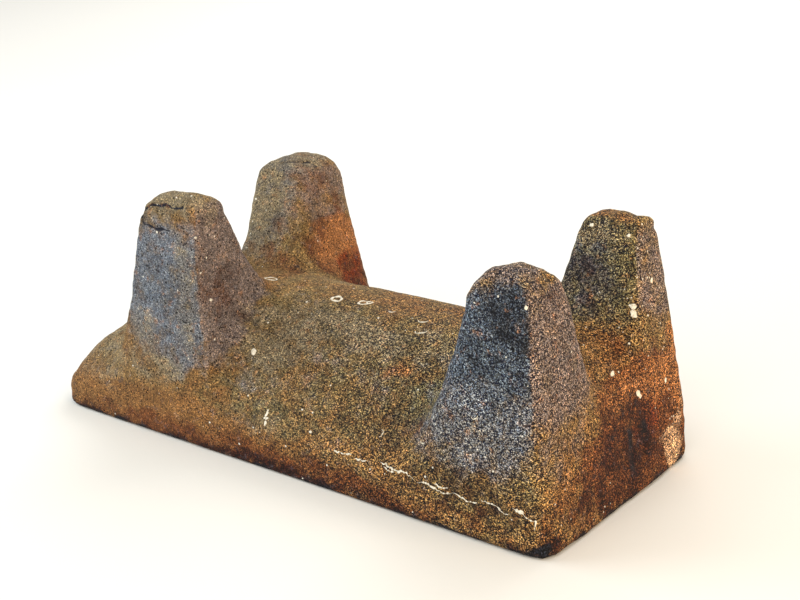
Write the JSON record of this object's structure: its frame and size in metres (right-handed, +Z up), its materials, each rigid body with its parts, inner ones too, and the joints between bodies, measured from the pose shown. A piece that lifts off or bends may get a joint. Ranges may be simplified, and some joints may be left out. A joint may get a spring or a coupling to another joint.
{
  "type": "footed grinding stone",
  "caption": "Long stone slab with a rounded belly, a blunt overhanging nose and stub legs, lying on its flat grinding face with its legs up",
  "frame": {"origin": "centre of the bounding box, on the plane of the flat grinding face that the stone lies on", "axes": "+X along the stone, from the blunt overhanging nose toward the end that is flush with its legs; +Y across it, away from the viewer of the picture; +Z up, from the grinding face to the tops of the legs. Half a turn about X gives the working position, standing on its legs with the grinding face up"},
  "size_m": [0.3432, 0.153, 0.142],
  "materials": {
    "stone": "weathered medium-grained granite, olive-tan with blue-grey and rust-brown patches and traces of white crust"
  },
  "bodies": {
    "root": {"grinding_stone": "stone"}
  },
  "joints": []
}
